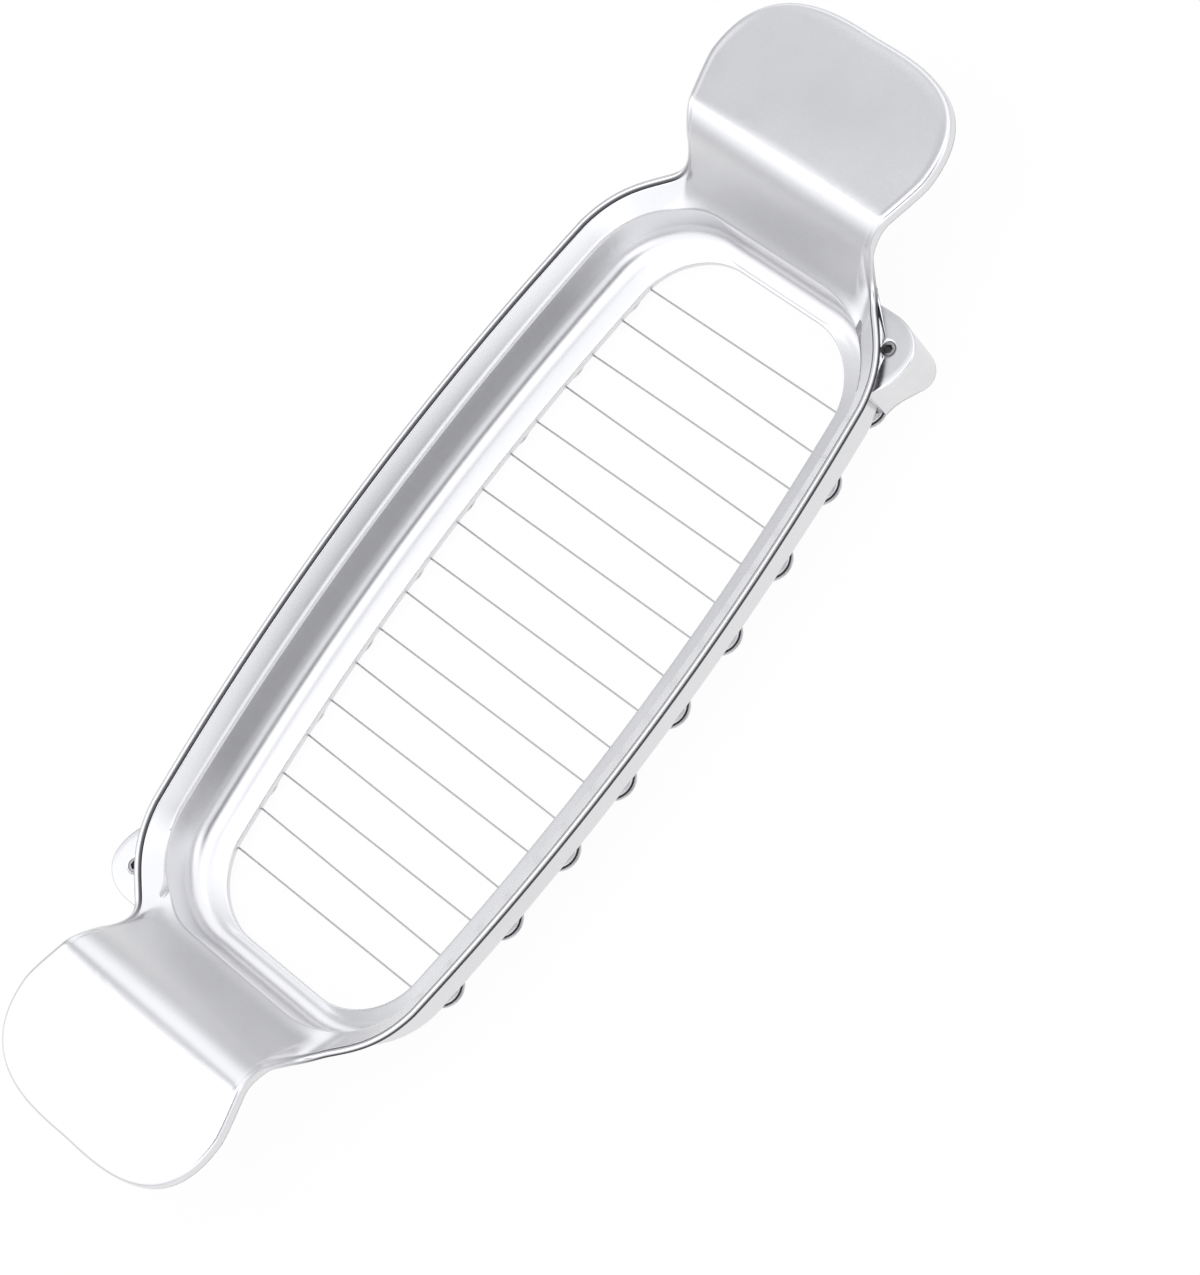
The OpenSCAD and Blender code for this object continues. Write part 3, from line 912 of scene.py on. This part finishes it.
# %% Spindles
for side in ("near", "far"):
    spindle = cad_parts[f"{side}_tension_spindle"]
    for slot in spindle.material_slots:
        slot.material = SPINDLE
print("spindles dressed in", SPINDLE.name)

# %% [markdown]
# ## The stage
#
# The photograph has a plain white ground. The floor is a plane that shows nearly pure white to
# the camera and to reflections, and still takes a soft shadow. The world is a pale tent, and
# what the steel shows is the tent: brighter overhead and at the sides, and dark in front, where
# the photographer stands.


# %% Stage and lights
FLOOR_HALF = 30000
FLOOR_DROP = 0.1 * MM


def make_floor():
    """A wide plane just under the studs."""
    corners = [(sx * FLOOR_HALF, sy * FLOOR_HALF, 0) for sx, sy in ((-1, -1), (1, -1), (1, 1), (-1, 1))]
    floor = mesh_object("floor", corners, [(0, 1, 2, 3)], None, False)
    floor.location.z = -FLOOR_DROP
    f = Finish("floor_white")
    tree = f.tree
    f.set(Base_Color=(0.9, 0.9, 0.9, 1), Roughness=0.9)
    glow = f.node("ShaderNodeEmission", Color=(1, 1, 1, 1), Strength=1.0)
    path = f.node("ShaderNodeLightPath")
    seen = (Sock(tree, path.outputs["Is Camera Ray"]) + Sock(tree, path.outputs["Is Glossy Ray"])
            + Sock(tree, path.outputs["Is Transmission Ray"])).clamp()
    mixed = f.node("ShaderNodeMixShader")
    f.put(mixed, 0, seen * 0.95)
    f.put(mixed, 1, f.shader.outputs[0])
    f.put(mixed, 2, glow.outputs[0])
    output = tree.nodes["Material Output"]
    tree.links.new(mixed.outputs[0], output.inputs[0])
    floor.data.materials.append(f.material)
    return floor


def make_world():
    """A pale tent with a dark gap in front, at the height of the photographer."""
    world = bpy.data.worlds.new("studio")
    bpy.context.scene.world = world
    world.use_nodes = True
    tree = world.node_tree
    place = tree.nodes.new("ShaderNodeTexCoord")
    split = tree.nodes.new("ShaderNodeSeparateXYZ")
    tree.links.new(place.outputs["Generated"], split.inputs[0])
    x, y, z = (Sock(tree, split.outputs[k]) for k in range(3))

    def rise(value, start, stop):
        """0 below start, 1 above stop, soft between."""
        node = tree.nodes.new("ShaderNodeMapRange")
        node.interpolation_type = "SMOOTHSTEP"
        tree.links.new(value.socket, node.inputs["Value"])
        node.inputs["From Min"].default_value = start
        node.inputs["From Max"].default_value = stop
        return Sock(tree, node.outputs[0])

    across = x.math("ABSOLUTE")
    tent = 0.80 - 0.34 * rise(x, -0.05, 0.15) * (1 - rise(x, 0.25, 0.45))
    overhead = 0.90 * rise(z, 0.85, 0.92)
    side_boxes = 0.50 * rise(across, 0.08, 0.55) * rise(z, 0.10, 0.40)
    toward_camera = (y * -1).math("DIVIDE", (1.0001 - z * z).math("SQRT"))
    near_box = 0.60 * rise(toward_camera, 0.5, 0.9) * (1 - rise(z, 0.60, 0.68))
    photographer = rise(toward_camera, 0.72, 0.92) * rise(z, 0.63, 0.68) * (1 - rise(z, 0.85, 0.89))
    low_sides = rise(across, 0.4, 0.8) * (1 - rise(z, -0.05, 0.20))
    light = (tent + overhead + side_boxes + near_box) * (1 - 0.97 * photographer) * (1 - 0.7 * low_sides)
    background = tree.nodes["Background"]
    background.inputs["Color"].default_value = (0.97, 0.975, 1.0, 1)
    tree.links.new(light.socket, background.inputs["Strength"])


def make_lamp(name, position, target, size, power):
    """A rectangular area lamp that points at a target."""
    data = bpy.data.lights.new(name, "AREA")
    data.shape = "RECTANGLE"
    data.size, data.size_y = size
    data.energy = power
    lamp = bpy.data.objects.new(name, data)
    lamp.location = position
    lamp.rotation_euler = (Vector(target) - Vector(position)).to_track_quat("-Z", "Y").to_euler()
    bpy.context.scene.collection.objects.link(lamp)
    return lamp


make_floor()
make_world()
make_lamp("left_softbox", (-0.35, 0.50, 0.80), (0, 0, 0), (0.5, 0.5), 0.5)
